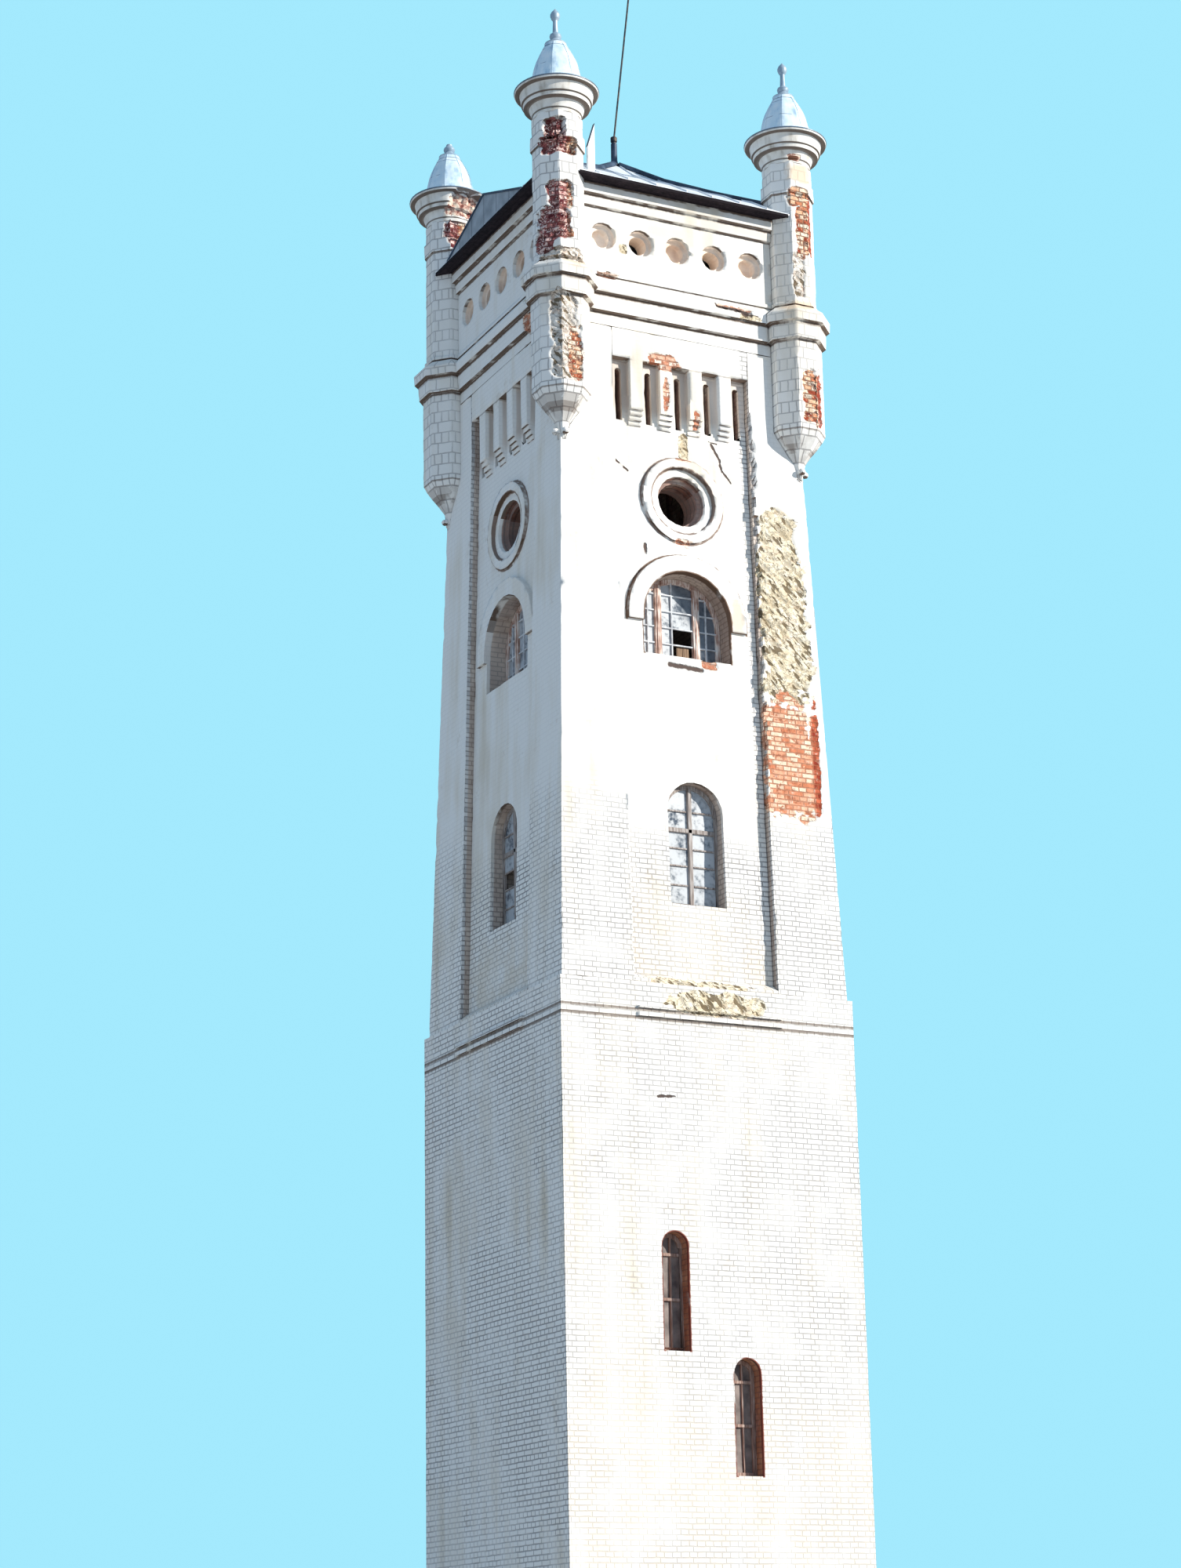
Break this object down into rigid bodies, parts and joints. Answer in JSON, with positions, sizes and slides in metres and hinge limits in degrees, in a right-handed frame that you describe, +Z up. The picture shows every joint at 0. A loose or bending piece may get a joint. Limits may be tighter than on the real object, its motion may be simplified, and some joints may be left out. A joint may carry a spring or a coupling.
{
  "type": "water tower",
  "caption": "Tall square whitewashed brick water tower with domed corner turrets, recessed faces with arched and round windows, and a low metal roof with a mast.",
  "frame": {"origin": "middle of the underside of the ground floor, on the tower axis", "axes": "+Z up, the front with the two stair windows faces -Y, +X to the right seen from the front"},
  "size_m": [5.5, 5.5, 30.2208],
  "materials": {
    "lime_brick": "lime-washed brickwork and plaster, matt and weathered",
    "floor_stone": "rough stone floor",
    "floor_boards": "rough old boards",
    "window_wood": "faded pinkish-brown paint on wood",
    "grey_wood": "weathered grey wood",
    "eave_wood": "dark stained boards",
    "sheet_metal": "dull pale sheet metal with folded seams",
    "dark_iron": "dull dark iron"
  },
  "bodies": {
    "root": {"ground_floor": "floor_stone", "lower_floor": "floor_boards", "upper_floor": "floor_boards", "front_base_wall": "lime_brick", "front_right_pier": "lime_brick", "front_field_wall": "lime_brick", "front_head_wall": "lime_brick", "front_right_turret": "lime_brick", "front_right_turret_dome": "sheet_metal", "front_arched_window": "window_wood", "front_low_window": "window_wood", "right_base_wall": "lime_brick", "back_right_pier": "lime_brick", "right_field_wall": "lime_brick", "right_head_wall": "lime_brick", "back_right_turret": "lime_brick", "back_right_turret_dome": "sheet_metal", "right_arched_window": "window_wood", "right_low_window": "window_wood", "back_base_wall": "lime_brick", "back_left_pier": "lime_brick", "back_field_wall": "lime_brick", "back_head_wall": "lime_brick", "back_left_turret": "lime_brick", "back_left_turret_dome": "sheet_metal", "back_arched_window": "window_wood", "back_low_window": "window_wood", "left_base_wall": "lime_brick", "front_left_pier": "lime_brick", "left_field_wall": "lime_brick", "left_head_wall": "lime_brick", "front_left_turret": "lime_brick", "front_left_turret_dome": "sheet_metal", "left_arched_window": "window_wood", "left_low_window": "window_wood", "upper_stair_window": "grey_wood", "lower_stair_window": "grey_wood", "back_door": "grey_wood", "eave_boards": "eave_wood", "roof": "sheet_metal", "left_roof_gablet": "sheet_metal", "front_roof_vent": "sheet_metal", "mast": "dark_iron"}
  },
  "joints": []
}
